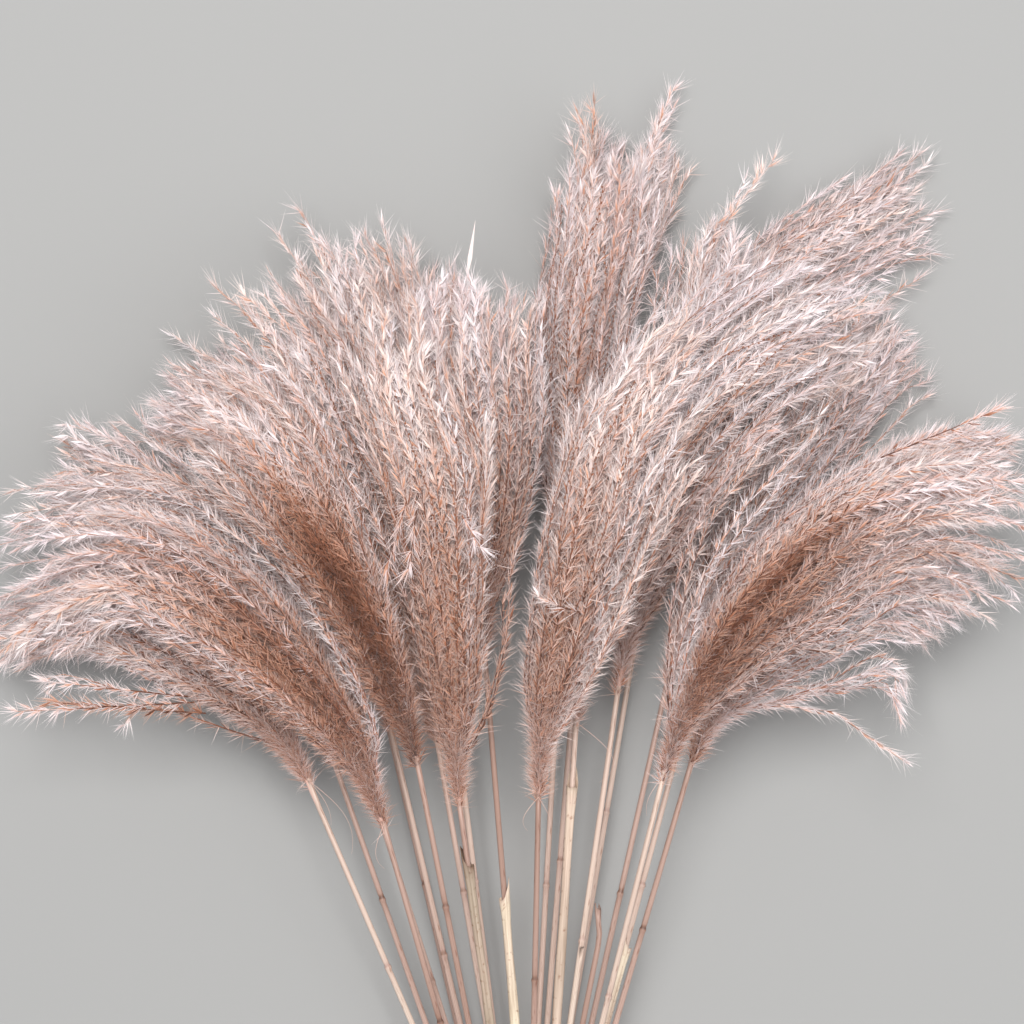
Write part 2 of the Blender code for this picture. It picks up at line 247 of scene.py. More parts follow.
class Axis:
    """A plume's axis with its half-width and half-height, evenly spaced from its base to its tip."""

    def __init__(self, node, base, heading):
        triangles = triangles_of(node)
        rows = [(base, 0.0, 0.0)]
        centre = base
        while True:
            ahead = centre + heading * SLICE
            ring = section(triangles, ahead, heading, SLICE_REACH)
            if len(ring) < 3:
                break
            right, above = across(heading)
            sideways, upwards = (ring - ahead) @ right, (ring - ahead) @ above
            middle = ahead + right * (sideways.max() + sideways.min()) / 2
            middle = middle + above * (upwards.max() + upwards.min()) / 2
            heading = unit(heading * KEEPS_HEADING + unit(middle - centre) * TURNS_HEADING)
            rows.append((middle, np.ptp(sideways) / 2, np.ptp(upwards) / 2))
            centre = middle
        corners = triangles.reshape(-1, 3)
        tip = corners[((corners - centre) @ heading).argmax()]
        rows.append((tip, 0.0, 0.0))
        points = np.array([row[0] for row in rows])
        travelled = lengths_along(points)
        self.length = travelled[-1]
        places = np.linspace(0, self.length, AXIS_POINTS)
        self.points = self.eased(rows_at(places, travelled, points)[0])
        self.half_width = self.eased(np.interp(places, travelled, [row[1] for row in rows]))
        self.half_height = self.eased(np.interp(places, travelled, [row[2] for row in rows]))
        self.shares = np.linspace(0, 1, AXIS_POINTS)
        self.headings = unit(np.gradient(self.points, axis=0))
        self.rights, self.aboves = across(self.headings)

    @staticmethod
    def eased(values):
        """The same values with small steps ironed out, and both ends kept."""
        for _ in range(4):
            inner = (values[:-2] + 2 * values[1:-1] + values[2:]) / 4
            values = np.concatenate([values[:1], inner, values[-1:]])
        return values

    def at(self, name, shares):
        """An attribute at these shares of the length. Past the tip the points go straight on."""
        values = getattr(self, name)
        if values.ndim == 1:
            return np.interp(shares, self.shares, values)
        found = rows_at(shares, self.shares, values)[0]
        if name == "points":
            found = found + self.headings[-1] * (np.maximum(shares - 1, 0) * self.length)[:, None]
        return found


# --- building meshes ---


class Piece:
    """Triangles on their way to becoming one mesh, with a place on the palette for each corner."""

    def __init__(self):
        self.points, self.faces, self.places, self.count = [], [], [], 0

    def add(self, points, faces, places):
        self.points.append(points)
        self.faces.append(faces + self.count)
        self.places.append(places)
        self.count += len(points)

    def add_alike(self, corners, tones, shades, offsets, faces):
        """The same few triangles many times. A corner's offset is that from its shade."""
        pairs = [np.stack([tone, shades + offset], 1) for tone, offset in zip(tones, offsets)]
        first = len(corners) * np.arange(len(shades))[:, None]
        faces = np.concatenate([first + face for face in faces])
        self.add(np.stack(corners, 1).reshape(-1, 3), faces, np.stack(pairs, 1).reshape(-1, 2))

    def blades(self, roots, tips, half_width, tones, shades, facing):
        """One narrow triangle from each root to its tip, with its tones at both."""
        side = unit(np.cross(tips - roots, facing)) * half_width
        corners = (roots - side, roots + side, tips)
        tones = (tones[0], tones[0], tones[1])
        self.add_alike(corners, tones, shades, (-SWATCH, SWATCH, 0), [(0, 1, 2)])

    def leaves(self, roots, tips, half_width, tones, shades, facing):
        """A folded leaf of two triangles from each root to its tip, widest at 0.4 of its length."""
        along = tips - roots
        side = unit(np.cross(along, facing)) * half_width
        belly = roots + along * 0.4
        keel = unit(np.cross(along, side)) * half_width * 0.7
        corners = (roots, belly - side + keel, tips, belly + side + keel)
        middle = (tones[0] + tones[1]) / 2
        tones = (tones[0], middle, tones[1], middle)
        self.add_alike(corners, tones, shades, (0, -SWATCH, 0, SWATCH), [(0, 1, 2), (0, 2, 3)])

    def tube(self, path, radii, sides, tones, shade):
        """A bar along a path, open at both ends."""
        turns = tau * np.arange(sides) / sides
        _, spread = spokes(path, turns)
        points = path[:, None] + spread * np.broadcast_to(radii, len(path))[:, None, None]
        places = np.empty((len(path), sides, 2))
        places[:, :, 0] = tones[:, None]
        places[:, :, 1] = shade + SWATCH * np.cos(turns)
        self.add(points.reshape(-1, 3), ring_faces(len(path), sides), places.reshape(-1, 2))

    def build(self, name, material, nodes, smooth_faces=False):
        """The mesh of all that was added. What hung below the floor is laid just above it."""
        points = np.concatenate(self.points)
        low = points[:, 2] < FLOOR_CLEAR
        points[low, 2] = FLOOR_CLEAR * RNG.uniform(1, 4, low.sum())
        faces = np.concatenate(self.faces)
        places = np.clip(np.concatenate(self.places), 0.004, 0.996)
        mesh_piece(name, points, faces, places, material, nodes, smooth_faces)


def ring_faces(rings, sides):
    """The triangles between rings of points that follow one another."""
    ring, side = np.meshgrid(np.arange(rings - 1), np.arange(sides), indexing="ij")
    low, beside = ring * sides + side, ring * sides + (side + 1) % sides
    quads = np.stack([low, beside, beside + sides, low + sides], -1).reshape(-1, 4)
    return np.concatenate([quads[:, (0, 1, 2)], quads[:, (0, 2, 3)]])


def unrolled(walls, columns, rows):
    """The map of ring_faces. The last of its columns is the first side again, where a ring closes."""
    sides = len(columns) - 1
    ring_of, side_of = walls // sides, walls % sides
    closing = (side_of.max(1) == sides - 1) & (side_of.min(1) == 0)
    side_of = np.where(closing[:, None] & (side_of == 0), sides, side_of)
    return np.stack([columns[side_of], rows[ring_of]], -1).reshape(-1, 2)


def mesh_piece(name, points, faces, places, material, nodes, smooth_faces, tones=None):
    """A mesh object that rides on the bundle and stands for these CAD nodes.

    places has one row for each point or for each triangle's corner.
    """
    mesh = bpy.data.meshes.new(name)
    mesh.vertices.add(len(points))
    mesh.vertices.foreach_set("co", points.astype(np.float32).ravel())
    mesh.loops.add(faces.size)
    mesh.loops.foreach_set("vertex_index", faces.astype(np.int32).ravel())
    mesh.polygons.add(len(faces))
    mesh.polygons.foreach_set("loop_start", np.arange(0, faces.size, 3, dtype=np.int32))
    mesh.polygons.foreach_set("use_smooth", np.full(len(faces), smooth_faces))
    corners = places[faces.ravel()] if len(places) == len(points) else places
    mesh.uv_layers.new(name=UV_MAP).uv.foreach_set("vector", corners.astype(np.float32).ravel())
    if tones is not None:
        attribute = mesh.attributes.new("tone", "FLOAT", "POINT")
        attribute.data.foreach_set("value", tones.astype(np.float32))
    mesh.update(calc_edges=True)
    mesh.materials.append(material)
    piece = bpy.data.objects.new(name, mesh)
    bpy.context.scene.collection.objects.link(piece)
    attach(piece, "root")
    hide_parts(*nodes)


# --- materials ---


def new_material(name, roughness):
    """A material with its node tree and its shader."""
    material = bpy.data.materials.new(name)
    material.use_nodes = True
    shader = material.node_tree.nodes["Principled BSDF"]
    shader.inputs["Roughness"].default_value = roughness
    return material, material.node_tree, shader


def node_of(tree, kind, **settings):
    """A new shader node. Each setting is what an input is linked to, its value, or a property."""
    node = tree.nodes.new(kind)
    for key, value in settings.items():
        if isinstance(value, bpy.types.NodeSocket):
            tree.links.new(value, node.inputs[key])
        elif key in node.inputs:
            node.inputs[key].default_value = value
        else:
            setattr(node, key, value)
    return node


def colour_ramp(tree, factor, stops):
    """The colour at this factor, between stops of a position and a colour."""
    ramp = node_of(tree, "ShaderNodeValToRGB", Fac=factor)
    elements = ramp.color_ramp.elements
    while len(elements) < len(stops):
        elements.new(0.5)
    for element, (position, colour) in zip(elements, stops):
        element.position = position
        element.color = (*colour, 1.0)
    return ramp.outputs["Color"]


def multiplied(tree, first, second):
    """One colour times another."""
    mix = node_of(tree, "ShaderNodeMix", data_type="RGBA", blend_type="MULTIPLY")
    mix.inputs[0].default_value = 1.0
    tree.links.new(first, mix.inputs[6])
    tree.links.new(second, mix.inputs[7])
    return mix.outputs[2]


def noise_of(tree, place, scale, detail, roughness):
    """The bare value of noise on the map."""
    settings = {"Vector": place, "Scale": scale, "Detail": detail, "Roughness": roughness}
    return node_of(tree, "ShaderNodeTexNoise", **settings).outputs["Fac"]


def streaks(tree, place, scale, detail, roughness, stops):
    """Noise stretched on the map: its bare value, and its colour between two stops."""
    place = node_of(tree, "ShaderNodeMapping", Vector=place, Scale=scale).outputs["Vector"]
    noise = noise_of(tree, place, 1.0, detail, roughness)
    return noise, colour_ramp(tree, noise, stops)


def palette_material(name, stops, roughness, sheen):
    """Colour by a place on the palette, with its tone from left to right and its shade upwards."""
    material, tree, shader = new_material(name, roughness)
    place = node_of(tree, "ShaderNodeUVMap", uv_map=UV_MAP).outputs["UV"]
    split = node_of(tree, "ShaderNodeSeparateXYZ", Vector=place)
    tone = colour_ramp(tree, split.outputs["X"], stops)
    shade = colour_ramp(tree, split.outputs["Y"], SHADES)
    colour = multiplied(tree, tone, shade)
    flecks = colour_ramp(tree, noise_of(tree, place, 34.0, 3.0, 0.6), PALETTE_FLECKS)
    tree.links.new(multiplied(tree, colour, flecks), shader.inputs["Base Color"])
    shader.inputs["Specular IOR Level"].default_value = 0.25
    shader.inputs["Sheen Weight"].default_value = sheen
    shader.inputs["Sheen Roughness"].default_value = 0.5
    return material


WHITE = (1.0, 1.0, 1.0)
PALETTE_FLECKS = ((0.30, (0.80, 0.78, 0.76)), (0.62, WHITE))
STALK_FIBRES = ((0.30, (0.66, 0.60, 0.56)), (0.60, WHITE))
STALK_FLECKS = ((0.28, (0.62, 0.48, 0.42)), (0.40, WHITE))
CULM_STOPS = (
    (0.0, (0.13, 0.065, 0.045)),
    (0.25, (0.32, 0.19, 0.145)),
    (0.5, (0.53, 0.37, 0.315)),
    (0.75, (0.68, 0.53, 0.45)),
    (1.0, (0.80, 0.70, 0.59)),
)
SHEATH_STOPS = (
    (0.0, (0.20, 0.125, 0.085)),
    (0.35, (0.44, 0.355, 0.27)),
    (0.65, (0.68, 0.53, 0.43)),
    (1.0, (0.86, 0.76, 0.58)),
)
TWINE_STOPS = ((0.0, (0.12, 0.075, 0.04)), (0.5, (0.38, 0.26, 0.15)), (1.0, (0.62, 0.48, 0.32)))
# The palette's shades, from pink to straw. Its colour is tone times shade.
SHADES = (
    (0.0, (1.00, 0.95, 0.97)),
    (0.4, (1.0, 0.98, 1.0)),
    (0.75, (1.0, 0.99, 0.99)),
    (1.0, (1.0, 0.918, 0.865)),
)
# The palette's tones for plumes, from dark brown to silvery silk.
PLUME_STOPS = (
    (0.0, (0.10, 0.033, 0.016)),
    (0.25, (0.32, 0.125, 0.066)),
    (0.5, (0.64, 0.355, 0.245)),
    (0.75, (0.83, 0.690, 0.655)),
    (1.0, (0.94, 0.900, 0.918)),
)
# Where along such a plume the silk begins to pale, and how much paler it is all over.
PLUME_RIPENING = {
    "plume_silver": (-0.20, 0.04),
    "plume_pink": (-0.08, 0.02),
    "plume_beige": (0.02, 0.0),
    "plume_tan": (0.18, -0.06),
}
# The same for broken tips, which are ripe all along.
FOLDED_LIFT = (-0.6, 0.05)

# From here on, the plumes go by their numbers.
# How far a plume's shades move from pink to straw.
STRAWY = {8: 0.15, 14: 0.2, 19: 0.2, 20: 0.38, 21: 0.38}
# The plumes that show veins.
VEINED = (9, 14, 16, 19, 20, 21)
# The share of its girth that a plume's branches keep to, on its left and its right. Below zero, they
# lie over on the other side.
SQUEEZED = {
    1: (0.65, 1.0), 3: (0.85, 0.6), 4: (0.75, 1.0), 6: (0.45, 1.0), 7: (0.5, 1.0), 9: (0.6, 0.95),
    10: (0.7, 1.0), 11: (-0.2, 1.0), 12: (0.35, 1.0), 17: (1.0, 0.8), 18: (0.55, 1.0), 21: (0.6, 1.0),
    22: (0.4, 1.0),
}
# How much paler a plume is than others of its tone, partly by painted light. Below zero it is darker.
# The painted light is paler where a plume lies in shade, and darker where less light falls on it.
PALER_AND_PAINTED_LIGHT = {
    3: -0.09, 4: 0.08, 8: -0.03, 9: -0.09, 10: 0.08, 11: -0.15, 12: -0.05, 14: -0.04, 16: 0.24,
    17: 0.11, 18: -0.02, 19: -0.14, 20: 0.11, 21: 0.21, 22: -0.02,
}
# About how far along its plume a branch reaches at most, besides the strays.
CROWNS = {
    1: 0.93, 2: 0.91, 3: 0.86, 4: 0.94, 5: 0.86, 6: 0.93, 7: 0.9, 8: 0.95, 9: 0.86, 10: 0.87, 12: 0.95,
    15: 0.9, 17: 0.89,
}
CROWN = 1.1  # of the other plumes
BROWN_UNTIL, BROWN_FADES = 0.44, 0.4  # where the streaks fade, and over which share
# Other plumes have one faint streak: where it may be, how wide, and how much darker.
FAINT_PLACES, FAINT_BAND = (-0.7, 0.7), (0.25, 0.1)
# Brown streaks: where across the plume, how wide, and how much darker.
# Below zero they are paler: partly pale silk, partly painted light on sides that lie in shade.
BROWN_AND_PAINTED_LIGHT_BANDS = {
    17: ((-0.55, 0.25, 0.2), (0.2, 0.1, 0.16), (0.75, 0.4, -0.22)),
    18: ((0.4, 0.25, 0.24), (0.0, 0.2, 0.1), (1.2, 0.3, -0.32)),
    19: ((0.0, 0.5, 0.5), (0.85, 0.2, -0.16)),
    20: ((0.0, 0.45, 0.08), (0.9, 0.25, -0.12)),
    21: ((0.0, 0.45, 0.12), (-0.6, 0.25, -0.12), (0.85, 0.35, -0.3)),
    22: ((0.0, 0.16, 0.44), (0.4, 0.1, 0.2), (-0.7, 0.4, -0.34), (0.85, 0.25, -0.24)),
}
# Branches that stand out of the heap: their place sideways and upwards, start, stop and drift.
STRAYS = {
    1: ((-0.75, 0.8, 0.4, 1.12, -0.022), (0.3, 0.2, 0.5, 1.04, 0.003)),
    2: ((-0.4, 0.2, 0.4, 0.9, -0.004), (0.5, 0.2, 0.4, 0.94, 0.004)),
    3: (
        (-0.05, 0.2, 0.3, 1.0, 0.002), (0.05, 0.1, 0.3, 0.97, 0.001), (-0.05, 0.5, 0.4, 0.94, 0.002),
        (0.9, 0.1, 0.2, 0.66, 0.003), (0.75, 0.3, 0.3, 0.7, 0.002),
    ),
    4: (
        (-0.5, 0.3, 0.4, 0.97, -0.003), (-0.3, 0.3, 0.4, 1.0, -0.007), (-0.1, 0.2, 0.4, 1.0, -0.004),
        (0.3, 0.2, 0.4, 0.98, 0.002), (0.7, 0.2, 0.4, 0.94, 0.006),
    ),
    5: ((-0.3, 0.3, 0.4, 0.97, -0.004), (0.9, 0.2, 0.3, 0.87, 0.004), (1.05, 0.1, 0.3, 0.83, 0.005)),
    6: ((0.6, 0.5, 0.3, 0.9, 0.004), (0.9, 0.3, 0.3, 0.84, 0.006), (1.0, 0.1, 0.2, 0.86, 0.002)),
    7: ((0.7, 0.3, 0.3, 0.9, -0.002), (-0.9, 0.2, 0.2, 0.84, 0.003), (-1.0, 0.0, 0.2, 0.8, 0.003)),
    8: ((-0.5, 0.3, 0.4, 1.01, -0.004), (-0.2, 0.2, 0.4, 1.03, -0.002), (0.6, 0.2, 0.4, 0.88, 0.006)),
    9: (
        (-0.15, 0.3, 0.3, 1.0, 0.002), (-0.3, 0.1, 0.3, 0.98, 0.001), (-0.2, 0.5, 0.4, 0.96, 0.001),
        (-0.4, 0.4, 0.4, 0.94, -0.001),
    ),
    10: (
        (-0.3, 0.4, 0.3, 1.05, 0.003), (-0.4, 0.2, 0.3, 0.99, 0.002), (-0.9, 0.1, 0.2, 0.8, -0.003),
        (-0.8, 0.3, 0.2, 0.83, -0.002), (-1.25, 0.1, 0.2, 0.7, -0.004),
        (-1.15, 0.2, 0.2, 0.62, -0.003),
    ),
    11: ((0.3, 0.3, 0.3, 0.98, 0.001), (0.6, 0.3, 0.3, 1.0, 0.003), (0.4, 0.1, 0.3, 1.0, 0.002)),
    12: ((-0.7, 0.2, 0.1, 0.96, -0.004),),
    14: ((-0.4, 0.3, 0.4, 1.01, -0.003), (-0.1, 0.2, 0.4, 1.05, -0.004), (0.2, 0.3, 0.4, 1.0, -0.003)),
    17: (
        (1.0, 0.1, 0.1, 0.43, 0.034), (1.0, 0.0, 0.1, 0.66, 0.02), (1.0, -0.1, 0.1, 0.69, 0.016),
        (0.95, 0.1, 0.1, 0.74, 0.008), (1.0, 0.0, 0.1, 0.76, 0.012), (0.95, 0.0, 0.1, 0.7, 0.005),
        (0.9, -0.2, 0.2, 0.84, 0.008), (-0.6, 0.3, 0.3, 0.96, -0.004), (-0.9, 0.2, 0.3, 0.94, -0.006),
        (-0.3, 0.2, 0.3, 0.96, -0.004),
    ),
    18: ((1.15, 0.1, 0.05, 0.66, 0.001), (1.25, 0.2, 0.05, 0.58, 0.001), (1.35, 0.0, 0.05, 0.4, 0.0)),
    20: ((1.35, 0.0, 0.05, 0.42, 0.001), (1.5, 0.0, 0.05, 0.52, 0.001)),
    22: (
        (-0.55, 0.3, 0.0, 0.6, -0.004), (-0.7, 0.4, 0.0, 0.66, -0.006),
        (-0.85, 0.2, 0.0, 0.58, -0.006), (-1.0, 0.3, 0.05, 0.62, -0.008),
        (-0.1, 0.4, 0.3, 1.02, 0.002), (0.1, 0.3, 0.3, 1.05, 0.002), (0.35, 0.4, 0.3, 1.06, 0.002),
        (0.65, 0.3, 0.3, 1.04, 0.002), (0.8, 0.1, 0.3, 1.04, 0.004), (1.0, 0.2, 0.3, 1.02, 0.006),
        (1.2, 0.2, 0.3, 0.99, 0.009),
    ),
}
# Broken tips: where along the plume and across it, how far turned to the right, and how long.
FOLDED_TIPS = {
    12: ((0.52, -0.8, -1.3, 0.009),),
    20: ((0.64, -0.45, -2.7, 0.027), (0.62, -0.32, -2.88, 0.023), (0.6, 0.42, 2.75, 0.014)),
    21: ((0.42, 0.2, -1.45, 0.017),),
}
# Branches that leave the plume's curve and run straight: the same four.
STRAIGHT = {
    12: ((0.4, -0.35, -0.54, 0.071), (0.36, -0.45, -0.46, 0.062), (0.42, -0.3, -0.36, 0.056)),
    22: ((0.74, -0.5, -0.05, 0.05),),
}
# Bare blades at a plume's tip: where across it, and how long.
BARE_BLADES = {15: ((-0.1, 0.026),)}
# Fine threads at a plume's base: how far to the right they swing, and how long they are.
THREADS = {
    12: ((0.01, 0.034), (0.004, 0.02)),
    16: ((0.016, 0.024),),
    18: ((-0.006, 0.018),),
    21: ((0.005, 0.016), (-0.006, 0.014)),
    22: ((-0.004, 0.018),),
}
RNG = np.random.default_rng(22)
VEIN_RNG = np.random.default_rng(5)


# --- plumes ---


def waver(travel, slow, fast, phases):
    """A slow wave and a weaker fast one."""
    return np.sin(travel * slow + phases[0]) + 0.6 * np.sin(travel * fast + phases[1])


def branch_path(axis, aside, aloft, start, stop, drift=0.0, rng=RNG):
    """A branch's course: out of the axis at start, along it at this place in the girth, and to stop.

    Towards its end it drifts this far to the right.
    """
    steps = max(5, round((stop - start) * axis.length / BRANCH_STEP))
    shares = np.linspace(start, stop, steps)
    travel = np.linspace(0, 1, steps)
    held = np.minimum(shares, axis.shares[axis.half_width.argmax()])
    loosen = 1 + LOOSENING * travel**3
    leave = smooth((shares - start) / LEAVING + LEFT_AT_START)
    sideways = np.maximum(axis.at("half_width", held) - SILK_ASIDE, OFF_AXIS) * aside * leave * loosen
    upwards = np.maximum(axis.at("half_height", held) - SILK_ALOFT, OFF_AXIS) * aloft * leave * loosen
    phases = rng.uniform(0, tau, 4)
    sway = SWAY * travel
    sideways = sideways + sway * waver(travel, 7, 15, phases[:2])
    sideways = sideways + drift * travel**4
    upwards = upwards + sway * waver(travel, 6, 13, phases[2:])
    rights, aboves = axis.at("rights", shares), axis.at("aboves", shares)
    offset = rights * sideways[:, None] + aboves * upwards[:, None]
    path = axis.at("points", shares) + offset
    outside = max(abs(path[-1, 0]) - side_reach - BRANCH_OUTSIDE, 0.0)
    path[:, 0] -= np.sign(path[-1, 0]) * outside * travel**2
    return path, shares, unit(offset)


def branch_stop(axis, aside, aloft):
    """Where a branch that keeps its place in the girth comes out of the narrowing plume."""
    widest = axis.half_width.argmax()
    wide = (axis.half_width[widest] - SILK_ASIDE) * abs(aside)
    high = (axis.half_height[widest] - SILK_ALOFT) * abs(aloft)
    inside = (axis.half_width[widest:] >= wide) & (axis.half_height[widest:] >= high)
    return axis.shares[widest + int(inside.argmin() if not inside.all() else len(inside)) - 1]


def streaks_and_painted_light_at(bands, aside):
    """How much darker a branch at this place across the plume is, by its brown streaks. Below zero it is
    paler, partly by painted light.
    """
    return sum(depth * np.exp(-(((aside - middle) / width) ** 2)) for middle, width, depth in bands)


def dress_vein(piece, path, outward):
    """A bare branchlet on top of the silk, with the stubs of its spikelets on both sides in turn."""
    path = path + outward * VEIN_RAISE
    lengths = lengths_along(path)
    places = np.arange(VEIN_PITCH, lengths[-1], VEIN_PITCH)
    roots, headings, outs = rows_at(places, lengths, path, np.gradient(path, axis=0), outward)
    hands = np.where(np.arange(len(places)) % 2, VEIN_STUB_LEAN, -VEIN_STUB_LEAN)[:, None]
    aim = unit(unit(headings) + unit(np.cross(headings, outs)) * hands)
    size = VEIN_STUB * VEIN_RNG.uniform(*VEIN_STUBS, (len(places), 1))
    tone = VEIN_TONE + VEIN_RNG.normal(0, VEIN_TONE_STRAY, len(places))
    girth = VEIN_RADIUS * np.linspace(1, 0.6, len(path))
    piece.tube(path, girth, STEM_SIDES, np.full(len(path), VEIN_TONE), VEIN_SHADE)
    shade = np.full(len(places), VEIN_SHADE)
    piece.leaves(roots, roots + aim * size, VEIN_STUB_HALF_WIDTH, (tone, tone + 0.1), shade, outs)


def dress_branch(piece, path, shares, outward, lift, streak_and_painted_light=0.0, strawy=0.0):
    """Spikelets in two rows along a branch, each with a tuft of silky hairs, and the branch itself."""
    lengths = lengths_along(path)
    count = max(3, int(lengths[-1] / SPIKELET_PITCH))
    places = np.linspace(SPIKELET_FIRST, lengths[-1], count)
    places = places + RNG.uniform(-SPIKELET_STRAY, SPIKELET_STRAY, count)
    places = np.clip(places, 0, lengths[-1])
    roots, headings, outs = rows_at(places, lengths, path, np.gradient(path, axis=0), outward)
    headings = unit(headings)
    share = np.interp(places, lengths, shares)
    opening = smooth((places / lengths[-1] - OPEN_FROM) / OPEN_OVER)
    beside = unit(np.cross(headings, outs))
    roll = pi * (np.arange(count) % 2) + RNG.normal(0, SPIKELET_ROLL, count)
    side = beside * np.cos(roll)[:, None] + outs * np.sin(roll)[:, None]
    shade = RNG.uniform(*BRANCH_SHADES) + RNG.normal(0, SHADE_STRAY, count) + strawy
    shade = np.clip(shade, SWATCH, 1 - SWATCH)
    ripe = smooth((share - lift[0]) / RIPENS_OVER) + lift[1]
    # The streaks fade along the plume. The paler bands among them are partly painted light on sides in
    # shade.
    fading_streak_and_light = streak_and_painted_light * (1 - smooth((share - BROWN_UNTIL) / BROWN_FADES))
    own = RNG.normal(0, BRANCH_TONE_STRAY) - fading_streak_and_light
    tone = DARK + RIPE_PALER * ripe + OPEN_PALER * opening * np.clip(ripe, 0, 1) + own
    tone = tone + RNG.normal(0, TONE_STRAY, count)

    girth = BRANCH_RADIUS * np.linspace(*BRANCH_TAPER, len(path))
    piece.tube(path, girth, STEM_SIDES, np.interp(lengths, places, tone) + STEM_DARKER, shade[0])

    lean = np.radians(RNG.uniform(*SPIKELET_LEAN, count))[:, None]
    aim = headings * np.cos(lean) + side * np.sin(lean)
    longer = RNG.uniform(*SPIKELET_LENGTHS, count) * (1 + OPEN_LONGER * opening)
    size = SPIKELET_LENGTH * longer[:, None]
    half_width = SPIKELET_HALF_WIDTH * (1 + OPEN_WIDER * opening)[:, None]
    facing = outs + RNG.normal(0, SPIKELET_TWIST, (count, 3))
    proud = roots + outs * SPIKELET_PROUD
    tones = (tone + SPIKELET_ROOT, tone + SPIKELET_TIP)
    piece.leaves(proud, proud + aim * size, half_width, tones, shade, facing)

    for hairs, scatter, reach in HAIR_SORTS:
        grown = np.repeat(np.arange(count), hairs)
        loose = np.interp(opening[grown], (0, 1), scatter)[:, None]
        stray = RNG.normal(0, 1, (len(grown), 3)) * loose
        longer = 1 + OPEN_HAIRIER * opening[grown]
        length = HAIR_LENGTH * RNG.uniform(*reach, len(grown)) * longer
        ends = roots[grown] + unit(aim[grown] + stray) * length[:, None]
        facing = outs[grown] + RNG.normal(0, HAIR_TWIST, (len(grown), 3))
        silky = SILK_TONE + SILK_RIPE_PALER * ripe[grown] + own[grown]
        silky = silky + RNG.normal(0, SILK_TONE_STRAY, len(grown))
        tones = (silky + SILK_ROOT, silky + SILK_TIP)
        piece.blades(roots[grown], ends, HAIR_HALF_WIDTH, tones, shade[grown], facing)


def straight_path(axis, share, aside, bend, length):
    """A straight branch on top of the plume, turned this far to the right of the plume's heading."""
    shares = np.full(STRAIGHT_POINTS, share)
    travel = np.linspace(0, 1, STRAIGHT_POINTS)[:, None]
    right, above, heading = (axis.at(name, shares) for name in ("rights", "aboves", "headings"))
    start = axis.at("points", shares) + right * axis.at("half_width", shares)[:, None] * aside
    start = start + above * axis.at("half_height", shares)[:, None] * (1 - abs(aside)) ** 0.5
    course = heading * cos(bend) + right * sin(bend)
    path = start + course * travel * length + above * STRAIGHT_BOW * np.sin(pi * travel)
    return path, shares + travel[:, 0] * STRAIGHT_RIPER, above


def dress_thread(piece, base, heading, swing, length):
    """A fine fibre that has come away at a plume's base and curls back along the culm."""
    right, above = across(heading)
    travel = np.linspace(0, 1, THREAD_POINTS)[:, None]
    path = base + heading * (THREAD_START - length * travel) + right * swing * np.sin(travel * 2.4)
    path = path + above * (0.002 + 0.003 * np.sin(travel * 3.0))
    girth = THREAD_RADIUS * np.linspace(1, 0.4, THREAD_POINTS)
    piece.tube(path, girth, STEM_SIDES, np.full(THREAD_POINTS, THREAD_TONE), THREAD_SHADE)


def dress_heap(piece, axis, crown, lift, bands, squeeze, strawy):
    """The branches that fill a plume's girth, each by a golden turn on from the last."""
    for i in range(BRANCHES):
        out = ((i + 0.5) / BRANCHES) ** 0.5
        turn = i * GOLDEN_TURN + RNG.uniform(-TURN_STRAY, TURN_STRAY)
        aside, aloft = out * cos(turn) * GIRTH_ASIDE, out * sin(turn) * GIRTH_ALOFT
        aside *= squeeze[int(aside > 0)]
        start = RNG.uniform(*BRANCH_STARTS) * (1 - OUTER_SOONER * out)
        stop = branch_stop(axis, aside, aloft) + RNG.uniform(*RAGGED)
        stop = min(stop, crown + RNG.uniform(-CROWN_STRAY, CROWN_STRAY))
        stop = max(stop, start + BRANCH_LENGTH_MIN / axis.length)
        drift = RNG.uniform(-0.2, 1) * BRANCH_DRIFT * aside
        course = branch_path(axis, aside, aloft, start, stop, drift)
        dress_branch(piece, *course, lift, streaks_and_painted_light_at(bands, aside), strawy)


def dress_veins(piece, axis, squeeze):
    """Veins side by side over the plume's upper side."""
    for i in range(VEINS):
        aside = np.interp(i, (0, VEINS - 1), VEIN_PLACES) + VEIN_RNG.uniform(-VEIN_STRAY, VEIN_STRAY)
        aside *= squeeze[int(aside > 0)]
        aloft = (1 - aside**2) ** 0.5
        start, stop = VEIN_RNG.uniform(*VEIN_STARTS), VEIN_RNG.uniform(*VEIN_STOPS)
        drift = VEIN_RNG.uniform(-1, 1) * VEIN_DRIFT
        path, _, outward = branch_path(axis, aside, aloft, start, stop, drift, VEIN_RNG)
        dress_vein(piece, path, outward)


